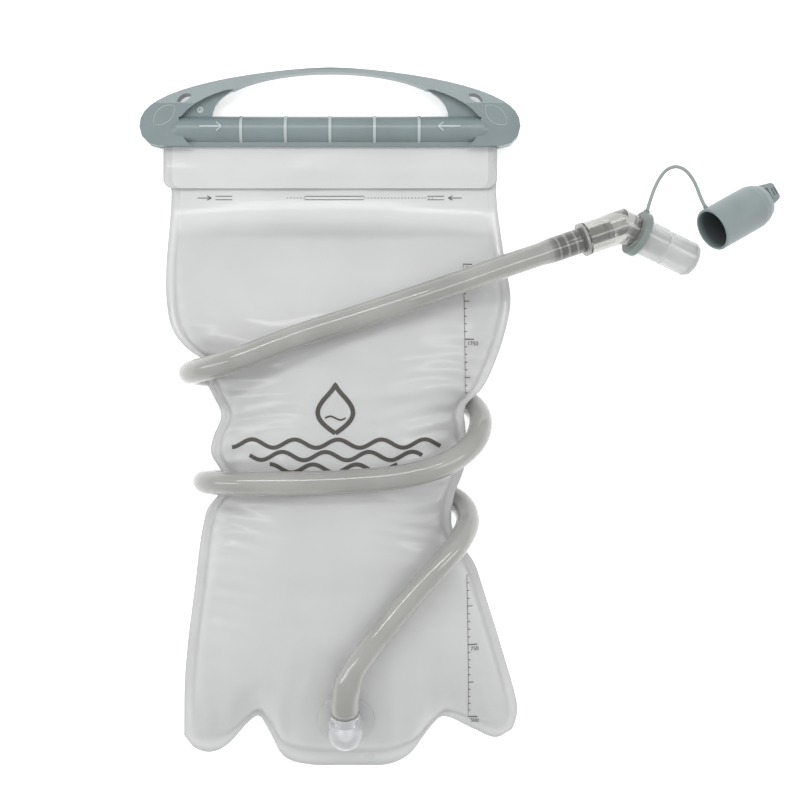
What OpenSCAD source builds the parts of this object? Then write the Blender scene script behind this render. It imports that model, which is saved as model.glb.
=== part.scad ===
// Two litre hydration bladder, lying on its back with its hose wound round it.
// +X to the wearer's right, +Y towards the carrying handle, +Z out of the printed face.
// The origin is under the middle of the bag and its slide seal, on the surface it lies on.

/* [Bag] */
// Flat width of the bag over its welded edges
bag_w = 188; // [176:1:212]
// Length of the bag from its bottom edge to the middle of the slide seal
bag_l = 319; // [300:1:380]
// Thickness of each of the two films
film_t = 0.5; // [0.4:0.05:0.7]
// Width of the weld round the edge
weld_w = 4.5; // [3:0.5:6]
// Height of the filled front film above the weld, below the hose
low_fill = 27; // [20:1:30]
// Height of the filled front film above the weld, at the waist
waist_fill = 22; // [16:1:24]
// Height of the filled front film above the weld, above the hose
top_fill = 27; // [20:1:30]
// Width of the bag's mouth, folded inside the slide seal
mouth_w = 168.4; // [150:0.2:170]
// Length of the folded flap that hangs out of the slide seal
flap_l = 21; // [14:1:28]
// Corner radius of the flap
flap_r = 5; // [2:1:8]

/* [Slide seal] */
// Width over the handle's two ends
seal_w = 191.4; // [188:0.2:200]
// Height of the handle above the middle of the channel
handle_h = 31.4; // [28:0.2:40]
// Depth of the handle, front to back
handle_t = 12; // [9:0.5:14]
// Thickness of the handle's bow at its middle
bow_t = 2.6; // [2.5:0.1:4]
// Depth of the handle's bow at its middle, front to back
bow_depth = 7.6; // [6:0.2:9]
// Outer radius of the channel
tube_r = 7; // [6.8:0.1:7.8]
// Radius of the channel's round bore
channel_r = 4.5; // [4.4:0.1:4.9]
// Gap between the two lips that the folded film passes through
slot_h = 2.8; // [2.7:0.1:3.2]
// Length of the lips below the channel
lip_l = 8.5; // [8:0.1:9.5]
// Thickness of each lip
lip_t = 1.8; // [1.4:0.1:2.2]
// Width of each grip rib on the channel
rib_w = 1.5; // [1:0.1:2]
// How far each grip rib stands out
rib_h = 0.4; // [0.2:0.1:0.5]
// Spacing of the grip ribs
rib_pitch = 22.4; // [16:0.2:24]
// Thickness of the two webs beside the hand opening
web_t = 3; // [2:0.2:5]
// Diameter of the retaining rail inside the fold
rail_d = 6; // [5.4:0.1:6.2]
// Clearance between the rail and the film folded round it
rail_gap = 0.15; // [0.12:0.01:0.2]
// Diameter of the tether hole in the left web
tether_hole_d = 1.6; // [1:0.1:2.4]

/* [Port] */
// Distance of the port's middle from the bag's bottom edge
port_up = 25.5; // [20:0.5:30]
// Distance of the port's middle from the bag's middle
port_x = 8.5; // [0:0.5:12]
// Tilt of the port, which follows the sloping film
port_tilt = 30; // [25:1:35]
// Diameter of the flange welded on the film
port_flange_d = 28; // [24:1:30]
// Thickness of the flange
port_flange_t = 1.2; // [1:0.1:2]
// Bore of the port's socket
socket_d = 10; // [9:0.1:11]
// Height of the spout's axis above the film
spout_h = 11; // [10.5:0.1:13]
// Length from the elbow's middle to the end of the hose
spout_l = 12.8; // [12:0.1:15]

/* [Hose] */
// Outer diameter of the hose
hose_od = 11.5; // [10.5:0.1:11.5]
// Inner diameter of the hose
hose_id = 7.5; // [7:0.1:8]
// Water way through the fittings
flow_d = 5.6; // [4.5:0.1:6]
// Length of each barb that grips the hose
barb_l = 14; // [12:0.5:14]

/* [Mouthpiece] */
// Outer diameter of the clear elbow
elbow_d = 16.4; // [15.5:0.1:17]
// Length from the spigot's plate to the elbow's bend
elbow_l = 22.5; // [19:0.1:26]
// Diameter of the spigot's plate
plate_d = 17; // [16:0.1:18]
// Thickness of the spigot's plate
plate_t = 1.2; // [1:0.1:1.6]
// Diameter of the spigot's turning plug
plug_d = 8.4; // [7.6:0.1:9]
// Running clearance of each turning fit, on the radius
run_gap = 0.08; // [0.05:0.01:0.1]
// Outer diameter of the cap ring
ring_d = 23; // [21:0.5:25]
// Thickness of the cap ring
ring_t = 3.4; // [2:0.1:4]
// Outer diameter of the bite valve
bite_d = 18; // [17:0.1:18.4]
// Length of the bite valve
bite_l = 31.5; // [26:0.5:34]
// Diameter of the tether between ring and cap
tether_d = 1.8; // [1.4:0.1:2.4]
// Outer diameter of the dust cap at its mouth
cap_d = 22; // [21.6:0.1:24]
// Length of the dust cap without its pull loop
cap_l = 37; // [34:0.5:40]
// Wall of the dust cap
cap_wall = 1.2; // [1:0.1:1.8]

/* [Hidden] */
$fn = 48;
eps = 0.01;

// Overall places. The channel's axis lies seal_z above the surface, so that its ribs rest on it.
bottom_y = -(bag_l + handle_h) / 2;
channel_y = bottom_y + bag_l;
seal_z = tube_r + rib_h;
fold_gap = 0.06;
weld_z = seal_z - film_t - fold_gap / 2;
hose_room = hose_od + 0.8;
bore_gap = 0.02;

// ---- curves through a few stations ----------------------------------------------------------
function clamp(x, lo, hi) = max(lo, min(hi, x));
function span(t, x, i = 0) = i >= len(t) - 2 || x < t[i + 1][0] ? i : span(t, x, i + 1);
function slope(t, i) =
    let (a = max(i - 1, 0), b = min(i + 1, len(t) - 1)) (t[b][1] - t[a][1]) / (t[b][0] - t[a][0]);
// Smooth curve through the table's [station, value] rows
function curve(t, x) =
    let (
        i = span(t, x),
        h = t[i + 1][0] - t[i][0],
        s = clamp((x - t[i][0]) / h, 0, 1),
        s2 = s * s,
        s3 = s2 * s
    )
    (2 * s3 - 3 * s2 + 1) * t[i][1] + (s3 - 2 * s2 + s) * h * slope(t, i)
    + (3 * s2 - 2 * s3) * t[i + 1][1] + (s3 - s2) * h * slope(t, i + 1);
// Straight lines through the table's rows
function line(t, x) =
    let (i = span(t, x), s = clamp((x - t[i][0]) / (t[i + 1][0] - t[i][0]), 0, 1))
    t[i][1] + s * (t[i + 1][1] - t[i][1]);

// ---- shape of the filled bag ------------------------------------------------------------------
// Stations are percent of bag_l from the bottom edge. Insets are from half of the flat width: the
// filled bag draws in, most of all at its waist between the turns of the hose.
left_inset = [
    [4, 21], [15, 22], [28, 27], [40, 33.5], [43.4, 41], [46, 41.3], [49, 36], [51.5, 37], [55, 41],
    [58, 37], [60.5, 33], [63.4, 32], [65.2, 24], [68, 16.5], [72, 13], [78, 12], [90, 13.8], [100, 13]
];
right_inset = [
    [4, 4], [7, 0.6], [10, 0.6], [19, 8.5], [28.5, 18], [32, 22], [37, 32.5], [42, 32.5], [46, 28],
    [49, 25.5], [53, 26.5], [56.4, 26.5], [59, 18.5], [63, 12], [68, 6.5], [73, 3.6], [80, 6.6], [89, 10],
    [100, 11]
];
// Rise of the bottom edge above its lowest point, by percent of the bottom edge from its left end
bottom_rise = [
    [0, 15], [3, 9], [8, 6.6], [13, 10], [22.5, 25], [26, 17], [30, 5], [38, 0.4], [50, 0],
    [62, 0.4], [69, 6], [75, 19], [79, 24.6], [88, 18.5], [95, 14], [100, 18]
];
// Height of the weld above the surface
weld_height = [
    [0, 14], [10, 17], [28, 21], [42, 30], [58, 30], [70, 21], [80, 13], [87, 8], [91, weld_z],
    [100, weld_z]
];
front_rise = [
    [0, low_fill], [30, low_fill], [44, waist_fill], [58, waist_fill], [69, top_fill],
    [77, 0.84 * top_fill], [82.5, 0.42 * top_fill], [85, 2.2], [87, 0.8], [90.5, 0], [100, 0]
];
back_drop = [[0, 20], [30, 26], [44, 20], [58, 20], [70, 24], [80, 15], [87, 6], [91, 0], [100, 0]];
// The back lies on the surface, and over the two turns of hose under the waist
rest_height = [[0, 0], [28, 0], [36, hose_room], [64, hose_room], [72, 0], [100, 0]];

end_l = 50;
first_station = 5;
body_top = 90.5;
body_rows = 27;
columns = 17;
bottom_mean = 16;
bottom_fade = 48;

function station(y) = 100 * (y - bottom_y) / bag_l;
function station_y(p) = bottom_y + bag_l * p / 100;
function left_x(p) = -bag_w / 2 + curve(left_inset, p);
function right_x(p) = bag_w / 2 - curve(right_inset, p);
// Row stations: the weld's two edges, then even rows up to the flap
row_y = [
    station_y(first_station), station_y(first_station) + weld_w,
    each [for (j = [1 : body_rows])
        let (a = station_y(first_station) + weld_w, s = j / body_rows)
        a + (station_y(body_top) - a) * (0.35 * s * s + 0.65 * s)]
];
function fade(y) = pow(clamp(1 - (y - row_y[0]) / bottom_fade, 0, 1), 2);
function rise(u) = max(0, curve(bottom_rise, 100 * u));
// Share of the width at which each column lies: the weld, even columns, the weld
function column_u(i, w) =
    i == 0 ? 0 : i == columns + 1 ? 1
    : let (s = (i - 1) / (columns - 1))
    weld_w / w + (1 - 2 * weld_w / w) * (0.6 * s + 0.4 * (1 - cos(180 * s)) / 2);
function across(u, w) = let (s = clamp((2 * u - 1) / (1 - 2 * weld_w / w), -1, 1)) 1 - s * s;
function along(y) = let (d = clamp((y - row_y[1]) / end_l, 0, 1)) 1 - pow(1 - d, 2);

// The front film is drawn flat under the port's flange: its share of the port's plane, by distance
function pad_share(x, y) =
    let (d = norm([x - port_x, (y - port_y) / cos(port_tilt)]) - port_flange_d / 2 - 1)
    1 - pow(clamp(d / pad_fade, 0, 1), 2) * (3 - 2 * clamp(d / pad_fade, 0, 1));
function pad_z(y) = port_z + (y - port_y) * tan(port_tilt) - film_t;

// [x, y, seam height, front rise, back drop] at column i of the row at y
function bag_point(y, i) =
    let (
        p = station(y),
        xl = left_x(p),
        w = right_x(p) - xl,
        u = column_u(i, w),
        on_weld = i == 0 || i == columns + 1 || y <= row_y[1] + eps,
        a = on_weld ? 0 : across(u, w),
        b = along(y),
        z = line(weld_height, p),
        up = on_weld ? 0 : max(0, curve(front_rise, p)) * pow(a, 0.62) * pow(b, 0.75),
        down = on_weld ? 0 : line(back_drop, p) * pow(a, 0.45) * pow(b, 0.6),
        floor_z = line(rest_height, p) + film_t,
        px = xl + u * w,
        py = y + (rise(u) - bottom_mean) * fade(y),
        pad = on_weld ? 0 : pad_share(px, py)
    )
    [
        px, py, z,
        up + (pad_z(py) - z - up) * pad,
        max(0, z - max(floor_z, z - down))
    ];

// The mouth: both films run up through the slot, round the rail and down again as the flap.
// Each row is [y, z, normal y, normal z, left x, right x] of the face where the two films meet.
fold_r = rail_d / 2 + rail_gap + film_t;
slot_top = channel_y - sqrt(pow(channel_r, 2) - pow(slot_h / 2, 2)) + 0.3;
lip_y = channel_y - lip_l;
flap_y = lip_y - flap_l;
flap_z = seal_z + fold_gap / 2 + film_t;
fold_open = 140;
fold_steps = 10;
half_mouth = mouth_w / 2;
mouth_rows = [
    [lip_y - flap_l / 2, weld_z, 0, 1, 2.2],
    [lip_y - 3, weld_z, 0, 1, 0],
    [slot_top, weld_z, 0, 1, 0],
    each [for (k = [0 : fold_steps])
        let (a = -fold_open + 2 * fold_open * k / fold_steps)
        [channel_y + fold_r * cos(a), seal_z + fold_r * sin(a), -cos(a), -sin(a), 0]],
    [slot_top, flap_z, 0, -1, 0],
    [lip_y - 3, flap_z, 0, -1, 0],
    each [for (a = [0 : 30 : 90])
        [flap_y + flap_r * (1 - sin(a)), flap_z, 0, -1, flap_r * (1 - cos(a))]]
];

// side: 1 for the front film, -1 for the back film. face: 0 where the films meet, 1 outside.
function film_row_body(y, side, face) = [for (i = [0 : columns + 1])
    let (p = bag_point(y, i), off = side > 0 ? p[3] : -p[4])
    [p[0], p[1], p[2] + off + side * face * film_t]];
function film_row_mouth(m, side, face) = [for (i = [0 : columns + 1])
    let (w = mouth_w - 2 * m[4], off = side * face * film_t)
    [-w / 2 + w * column_u(i, w), m[0] + m[2] * off, m[1] + m[3] * off]];
function film_face(side, face) = concat(
    [for (y = row_y) film_row_body(y, side, face)],
    [for (m = mouth_rows) film_row_mouth(m, side, face)]
);
function joined(rows) = [for (r = rows) each r];

// A sheet between two grids of points with the same rows and columns
module sheet(upper, lower) {
    nr = len(upper);
    nc = len(upper[0]);
    low = nr * nc;
    faces = concat(
        [for (j = [0 : nr - 2], i = [0 : nc - 2]) let (k = j * nc + i) each [
            [k, k + nc, k + nc + 1], [k, k + nc + 1, k + 1],
            [low + k, low + k + nc + 1, low + k + nc], [low + k, low + k + 1, low + k + nc + 1]
        ]],
        [for (i = [0 : nc - 2]) let (k = (nr - 1) * nc + i) each [
            [i, i + 1, low + i + 1, low + i], [k, low + k, low + k + 1, k + 1]
        ]],
        [for (j = [0 : nr - 2]) let (k = j * nc, r = k + nc - 1) each [
            [k, low + k, low + k + nc, k + nc], [r, r + nc, low + r + nc, low + r]
        ]]
    );
    polyhedron(concat(joined(upper), joined(lower)), faces, convexity = 8);
}

// ---- port frame: on the film's outer face, its Z out of the film, its Y along the spout ---------
port_y = bottom_y + port_up;
port_z = 31;
pad_fade = 14;
module at_port() {
    translate([port_x, port_y, port_z]) rotate([port_tilt, 0, 0]) children();
}

module front_film() {
    color([0.86, 0.88, 0.87, 0.6])
        difference() {
            sheet(film_face(1, 1), film_face(1, 0));
            at_port() translate([0, 0, -8]) cylinder(d = socket_d, h = 12);
        }
}

module back_film() {
    color([0.80, 0.82, 0.81, 0.6])
        sheet(film_face(-1, 0), film_face(-1, 1));
}

// Stiff round rail that the mouth is folded over, so that it can't slip out of the channel
module seal_rail() {
    color("whitesmoke")
        translate([-half_mouth + 1, channel_y, seal_z])
            rotate([0, 90, 0]) cylinder(d = rail_d, h = mouth_w - 2);
}

// ---- slide seal ---------------------------------------------------------------------------------
tip_y = channel_y + 1.2;
bow_rise = handle_h - 1.2;
opening_w = 119.4;
opening_low = channel_y + tube_r - 1.4;
opening_rise = bow_rise - bow_t + tip_y - opening_low;
end_x = 76;
end_corner = 10;
taper_from = 13;
bow_round = 2.4;
foot_w = 172;
seal_end = half_mouth + 1;
bow_steps = 14;
function bow_y(x) = tip_y + bow_rise * pow(1 - pow(min(1, abs(x) / (seal_w / 2)), 1.5), 0.42);
function opening_y(x) =
    opening_low + opening_rise * pow(1 - pow(min(1, abs(x) / (opening_w / 2)), 2), 0.42);
// Even angles bunch the stations towards the ends, where both curves turn fastest
function stations(half) = [for (k = [-bow_steps : bow_steps]) half * sin(90 * k / bow_steps)];

module bow_outline() {
    foot = foot_w / 2;
    tip = seal_w / 2;
    polygon(concat(
        [for (x = stations(tip)) [x, bow_y(x)]],
        [for (a = [30 : 30 : 90]) [foot + (tip - foot) * cos(a), tip_y - (tip_y - lip_y) * sin(a)]],
        [for (a = [90 : -30 : 30]) [-foot - (tip - foot) * cos(a), tip_y - (tip_y - lip_y) * sin(a)]]
    ));
}

module opening_outline() {
    polygon([for (x = stations(opening_w / 2)) [x, opening_y(x)]]);
}

// Recess beside the hand opening, between the bow and the channel
module web_outline() {
    low = tube_r - 2;
    translate([0, channel_y])
        polygon([
            [-76, low], [-74.6, 6.6], [-71.8, 9.6], [-67.4, 13], [-62.6, 15.7], [-57.6, 17.9], [-52.4, 19.6],
            [-45, 21], [-45, low]
        ]);
}

// Relief of both faces between the ends, which leaves the channel and its lips; its lower corners are round
module face_relief() {
    top = opening_low + 0.4;
    depth = top - lip_y + 1;
    inner_x = end_x - end_corner;
    polygon(concat(
        [for (a = [0 : 15 : 90]) [inner_x + end_corner * cos(a), top - depth * sin(a)]],
        [for (a = [90 : -15 : 0]) [-inner_x - end_corner * cos(a), top - depth * sin(a)]]
    ));
}

module oval(length, width) {
    scale_r = (pow(length, 2) + pow(width, 2)) / (4 * width);
    intersection() {
        translate([0, scale_r - width / 2]) circle(r = scale_r, $fn = 96);
        translate([0, width / 2 - scale_r]) circle(r = scale_r, $fn = 96);
    }
}

// Long section of the moulding: full depth at the ends, thinner towards the bow, whose edge is round
module seal_section() {
    half = handle_t / 2;
    top_half = bow_depth / 2;
    top = channel_y + handle_h + 1;
    translate([-seal_w / 2 - 1, 0, seal_z])
        rotate([90, 0, 90])
            linear_extrude(seal_w + 2)
                union() {
                    polygon([
                        [lip_y - 1, -half], [channel_y + taper_from, -half], [top - bow_round, -top_half],
                        [top - bow_round, top_half], [channel_y + taper_from, half], [lip_y - 1, half]
                    ]);
                    translate([top - bow_round - 1, bow_round - top_half])
                        square([bow_round + 1, bow_depth - 2 * bow_round]);
                    for (side = [-1, 1])
                        translate([top - bow_round, side * (top_half - bow_round)]) circle(r = bow_round);
                }
}

module slide_seal() {
    half = handle_t / 2;
    pocket = (handle_t - web_t) / 2;
    lip_h = slot_h / 2 + lip_t;
    color([0.56, 0.62, 0.60])
        difference() {
            union() {
                intersection() {
                    translate([0, 0, seal_z - half])
                        linear_extrude(handle_t)
                            difference() {
                                bow_outline();
                                opening_outline();
                                face_relief();
                            }
                    seal_section();
                }
                translate([-end_x, channel_y, seal_z])
                    rotate([0, 90, 0]) cylinder(r = tube_r, h = 2 * end_x);
                for (side = [-1, 1])
                    translate([side * end_x, channel_y, seal_z]) sphere(r = tube_r);
                translate([-end_x - 1, lip_y, seal_z - lip_h])
                    cube([2 * end_x + 2, lip_l, 2 * lip_h]);
                for (k = [-2 : 2])
                    translate([k * rib_pitch - rib_w / 2, channel_y, seal_z])
                        rotate([0, 90, 0]) cylinder(r = tube_r + rib_h, h = rib_w);
            }
            // channel and slot, open at the left end, where the film leaves as the seal slides off
            translate([-seal_w, channel_y, seal_z])
                rotate([0, 90, 0]) cylinder(r = channel_r, h = seal_w + seal_end);
            translate([-seal_w, lip_y - 1, seal_z - slot_h / 2])
                cube([seal_w + seal_end, lip_l + 1, slot_h]);
            // web pockets in both faces
            for (side = [-1, 1], z = [seal_z + web_t / 2, seal_z - half - 1])
                difference() {
                    translate([0, 0, z])
                        linear_extrude(pocket + 1) scale([-side, 1]) web_outline();
                    translate([-seal_w / 2, channel_y, seal_z])
                        rotate([0, 90, 0]) cylinder(r = tube_r, h = seal_w);
                }
            // lanyard slots and thumb ovals at both ends
            for (side = [-1, 1]) {
                translate([side * 73.3, channel_y + 15.6, 0])
                    rotate(-side * 28) linear_extrude(3 * seal_z) oval(8.2, 3.8);
                translate([side * 83.4, channel_y + 7.2, seal_z + half - 0.4])
                    rotate(-side * 42)
                        linear_extrude(1) difference() {
                            oval(14.6, 8.4);
                            oval(13.2, 7);
                        }
            }
            translate([-65.6, channel_y + 10, 0]) cylinder(d = tether_hole_d, h = 3 * seal_z);
        }
}

// ---- port -----------------------------------------------------------------------------------------
socket_h = 5.2;
hub_d = socket_d + 6;
port_ring_d = 1.8;
port_groove = 2;
module ring_of(major_r, section_d) {
    rotate_extrude() translate([major_r, 0]) circle(d = section_d, $fn = 24);
}

// Barbed nose along Z for the hose, from its shoulder at z = 0
module barb(length, barb_r, steps) {
    shank = hose_id / 2 - 0.15;
    tooth = length / steps;
    for (k = [0 : steps - 1])
        translate([0, 0, k * tooth]) {
            cylinder(r = shank, h = tooth);
            translate([0, 0, tooth * 0.25]) cylinder(r1 = barb_r, r2 = shank, h = tooth * 0.7);
        }
}

module port_base() {
    color("gainsboro")
        at_port() difference() {
            union() {
                cylinder(d = port_flange_d, h = port_flange_t);
                cylinder(d = hub_d, h = socket_h);
            }
            translate([0, 0, -1]) cylinder(d = socket_d, h = socket_h + 2);
        }
}

module port_o_ring() {
    color([0.25, 0.25, 0.26])
        at_port() translate([0, 0, port_groove + 0.9])
            ring_of(socket_d / 2 - port_ring_d / 2 - bore_gap, port_ring_d);
}

module port_elbow() {
    plug_r = socket_d / 2 - 0.1;
    color([0.90, 0.91, 0.92])
        at_port() difference() {
            union() {
                translate([0, 0, 0.2]) cylinder(r = plug_r, h = spout_h);
                translate([0, 0, socket_h + 0.05]) cylinder(d = hub_d + 1, h = spout_h - socket_h);
                intersection() {
                    translate([0, 0, spout_h]) sphere(d = hub_d + 1);
                    translate([0, 0, socket_h + 0.05]) cylinder(d = hub_d + 2, h = 2 * spout_h);
                }
                translate([0, 0, spout_h]) rotate([-90, 0, 0]) {
                    cylinder(r = 5.6, h = spout_l);
                    translate([0, 0, spout_l - 1.6]) cylinder(r = 7.2, h = 1.6);
                    translate([0, 0, spout_l]) barb(barb_l, port_barb_r, 2);
                }
            }
            translate([0, 0, -1]) cylinder(d = flow_d, h = spout_h + 1);
            translate([0, 0, spout_h]) sphere(d = flow_d);
            translate([0, 0, spout_h]) rotate([-90, 0, 0])
                cylinder(d = flow_d, h = spout_l + barb_l + 1);
            translate([0, 0, port_groove]) difference() {
                cylinder(r = plug_r + 1, h = 1.8 + eps);
                translate([0, 0, -eps]) cylinder(r = socket_d / 2 - port_ring_d - 0.1, h = 2);
            }
        }
}

// ---- hose ---------------------------------------------------------------------------------------
// Middle line of the hose from the port, round the waist twice, to the mouthpiece
hose_points = [
    [8.5, -144.1, 47], [8.6, -138, 50.4], [9.6, -131.5, 53.7], [13.2, -122, 56.4], [20.5, -111.5, 57],
    [29.5, -100.5, 56], [41, -87, 54.4], [53, -74, 52], [62, -64, 47], [67.5, -55.5, 38.5],
    [68.6, -50, 29], [66.3, -45, 19], [59.5, -40.5, 10.5], [48, -37.5, 6.2], [25, -36, 6], [-5, -35, 6],
    [-36, -34, 6.2], [-49, -33.5, 10.5], [-58, -33, 19.5], [-61.4, -32.5, 32], [-57.5, -32.5, 45.5],
    [-46, -32.5, 54.8], [-30, -32.5, 57.6], [0, -32, 58.4], [30, -30, 57.8], [50, -26, 55.5],
    [63, -20, 50.5], [72, -12, 42], [75, -3, 31.5], [72.2, 4, 19.5], [63.5, 9, 10.2], [50, 11.5, 6.2],
    [25, 13.5, 6], [-10, 16.5, 6], [-42, 19, 6.2], [-55.5, 20, 10.2], [-65, 20.5, 19], [-68.6, 20.8, 31],
    [-65.2, 21.5, 44], [-55.5, 23.5, 53.8], [-41, 28, 58], [-13, 38.5, 59], [15, 47.5, 58.5],
    [40, 56, 55], [64, 64.6, 47.6], [88, 73.6, 39], [108, 80.7, 31.1], [125.4, 86.9, 26.9]
];
hose_sides = 12;
port_barb_r = 4.9;
mouth_barb_r = 4.2;
facet = cos(180 / hose_sides);
// Points between route points follow a smooth curve; the straight runs need fewer
function spline(p, i, t) =
    let (
        n = len(p) - 1,
        p0 = p[max(i - 1, 0)], p1 = p[i], p2 = p[min(i + 1, n)], p3 = p[min(i + 2, n)]
    )
    0.5 * (2 * p1 + (p2 - p0) * t + (2 * p0 - 5 * p1 + 4 * p2 - p3) * t * t
    + (3 * p1 - p0 - 3 * p2 + p3) * t * t * t);
function route(p, each_step) =
    [each [for (i = [0 : len(p) - 2])
        let (n = max(1, round(norm(p[i + 1] - p[i]) / each_step)))
        each [for (k = [0 : n - 1]) spline(p, i, k / n)]], p[len(p) - 1]];
function unit(v) = v / norm(v);
function heading(p, i) =
    let (n = len(p) - 1) unit(p[min(i + 1, n)] - p[max(i - 1, 0)]);
function square_to(v, t) = unit(v - (v * t) * t);
function sides_of(p, start) =
    [for (i = 0, v = square_to(start, heading(p, 0)); i < len(p);
        i = i + 1, v = i < len(p) ? square_to(v, heading(p, i)) : v) v];
function travelled(p) =
    [for (i = 0, s = 0; i < len(p); i = i + 1, s = i < len(p) ? s + norm(p[i] - p[i - 1]) : s) s];
function ring_at(c, t, v, r, n) =
    let (w = cross(t, v)) [for (k = [0 : n - 1]) c + r * (cos(360 * k / n) * v + sin(360 * k / n) * w)];

// Round tube along p; outer and inner radius at each point. An inner radius of 0 makes it solid.
module tube(p, outer, inner, n, start) {
    m = len(p);
    v = sides_of(p, start);
    out = [for (i = [0 : m - 1]) each ring_at(p[i], heading(p, i), v[i], outer[i], n)];
    hole = [for (i = [0 : m - 1]) each ring_at(p[i], heading(p, i), v[i], inner[i], n)];
    o = m * n;
    e = (m - 1) * n;
    wall = [for (i = [0 : m - 2], k = [0 : n - 1])
        let (a = i * n + k, b = i * n + (k + 1) % n) each [[a, b, b + n], [a, b + n, a + n]]];
    if (inner[0] > 0)
        polyhedron(
            concat(out, hole),
            concat(
                wall,
                [for (f = wall) [o + f[2], o + f[1], o + f[0]]],
                [for (k = [0 : n - 1]) let (b = (k + 1) % n) [k, o + k, o + b, b]],
                [for (k = [0 : n - 1]) let (b = (k + 1) % n) [e + k, e + b, o + e + b, o + e + k]]
            ),
            convexity = 10
        );
    else
        polyhedron(
            out,
            concat(wall, [[for (k = [n - 1 : -1 : 0]) k]], [[for (k = [0 : n - 1]) e + k]]),
            convexity = 10
        );
}

hose_line = route(hose_points, 13.5);
hose_run = travelled(hose_line);
hose_l = hose_run[len(hose_run) - 1];
hose_wall = (hose_od - hose_id) / 2;
// The hose is stretched over the barbs at its two ends
stretch = 8;
function hose_bore(s) =
    let (
        a = (port_barb_r + 0.1) / facet,
        b = (mouth_barb_r + 0.1) / facet,
        r = hose_id / 2,
        near = clamp((barb_l + 2 - s) / stretch + 1, 0, 1),
        far = clamp((barb_l + 2 - hose_l + s) / stretch + 1, 0, 1)
    )
    r + (a - r) * near + (b - r) * far;

module hose() {
    bore = [for (s = hose_run) hose_bore(s)];
    color([0.70, 0.70, 0.68])
        tube(hose_line, [for (r = bore) r + hose_wall], bore, hose_sides, [1, 0, 0]);
}

// ---- mouthpiece -----------------------------------------------------------------------------------
// Spigot frame: at the end of the hose, its Z along the hose. Outlet frame: at the elbow's bend.
spigot_turn = 19.7;
spigot_dip = 13;
outlet_turn = -24.5;
outlet_dip = 17.5;
spigot_at = hose_points[len(hose_points) - 1];
function direction(turn, dip) = [cos(dip) * cos(turn), cos(dip) * sin(turn), -sin(dip)];
spigot_way = direction(spigot_turn, spigot_dip);
outlet_way = direction(outlet_turn, outlet_dip);
outlet_at = spigot_at + elbow_l * spigot_way;
module at_spigot() {
    translate(spigot_at) rotate([0, 90 + spigot_dip, spigot_turn]) children();
}
module at_outlet() {
    translate(outlet_at) rotate([0, 90 + outlet_dip, outlet_turn]) children();
}

body_start = plate_t + 1.1;
socket_end = 15.4;
plug_end = 15;
spigot_groove = 11.4;
spigot_ring_d = 1.6;
spigot_bore = 4.4;
neck_r = 7;
neck_at = 7.2;
nipple_at = neck_at + ring_t + 0.6;
nipple_r = 5.4;
nipple_l = 12;
// The outlet's bore is a little narrower than the bore it branches from
nipple_step = 0.8;
mitre_step = 0.16;

module hose_spigot() {
    color([0.93, 0.94, 0.94])
        at_spigot() difference() {
            union() {
                mirror([0, 0, 1]) barb(barb_l, mouth_barb_r, 3);
                cylinder(d = plate_d, h = plate_t);
                cylinder(d = plug_d, h = plug_end);
                cylinder(d = plug_d + 3, h = body_start - 0.3);
            }
            translate([0, 0, -barb_l - 1]) cylinder(d = spigot_bore, h = barb_l + plug_end + 2);
            translate([0, 0, spigot_groove]) difference() {
                cylinder(d = plug_d + 1, h = spigot_ring_d + 0.1);
                translate([0, 0, -eps])
                    cylinder(r = plug_d / 2 + run_gap - spigot_ring_d - bore_gap, h = spigot_ring_d + 1);
            }
        }
}

module spigot_o_ring() {
    color([0.16, 0.16, 0.17])
        at_spigot() translate([0, 0, spigot_groove + spigot_ring_d / 2 + 0.05])
            ring_of(plug_d / 2 + run_gap - spigot_ring_d / 2 - 0.02, spigot_ring_d - 0.04);
}

module valve_elbow() {
    r = elbow_d / 2;
    long = 60;
    way = outlet_way + spigot_way;
    color([0.88, 0.90, 0.90, 0.55])
        difference() {
            union() {
                // two round arms that meet in a mitre
                difference() {
                    at_spigot() translate([0, 0, body_start]) cylinder(r = r, h = elbow_l + r - body_start);
                    translate(outlet_at) mitre_frame(way) translate([-long / 2, -long / 2, 0]) cube(long);
                }
                difference() {
                    at_outlet() translate([0, 0, -r]) cylinder(r = r - mitre_step, h = neck_at + r);
                    translate(outlet_at) mitre_frame(way)
                        translate([-long / 2, -long / 2, -long - mitre_step / 2]) cube(long);
                }
                at_outlet() {
                    cylinder(r = neck_r, h = nipple_at);
                    cylinder(r = nipple_r, h = nipple_at + nipple_l);
                    translate([0, 0, nipple_at + nipple_l - 4])
                        cylinder(r1 = nipple_r + 0.4, r2 = nipple_r, h = 3);
                }
            }
            at_spigot() {
                translate([0, 0, -1]) cylinder(d = plug_d + 2 * run_gap, h = socket_end + 1);
                cylinder(d = flow_d, h = elbow_l + 1);
            }
            at_outlet() translate([0, 0, -0.5]) cylinder(d = flow_d - nipple_step, h = 3 * nipple_at);
        }
}

// Turns Z onto the direction halfway between the two arms
module mitre_frame(way) {
    dip = acos(way[2] / norm(way));
    turn = atan2(way[1], way[0]);
    rotate([0, dip, turn]) children();
}

lug_h = 0.9;

module cap_ring() {
    color([0.55, 0.60, 0.59])
        at_outlet() translate([0, 0, neck_at + 0.2])
            difference() {
                union() {
                    cylinder(d = ring_d, h = ring_t);
                    translate([-1.3, ring_d / 2 - 1.5, 0]) cube([2.6, 1.5 + lug_h, 2.4]);
                }
                translate([0, 0, -1]) cylinder(r = neck_r + run_gap, h = ring_t + 2);
            }
}

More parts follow.
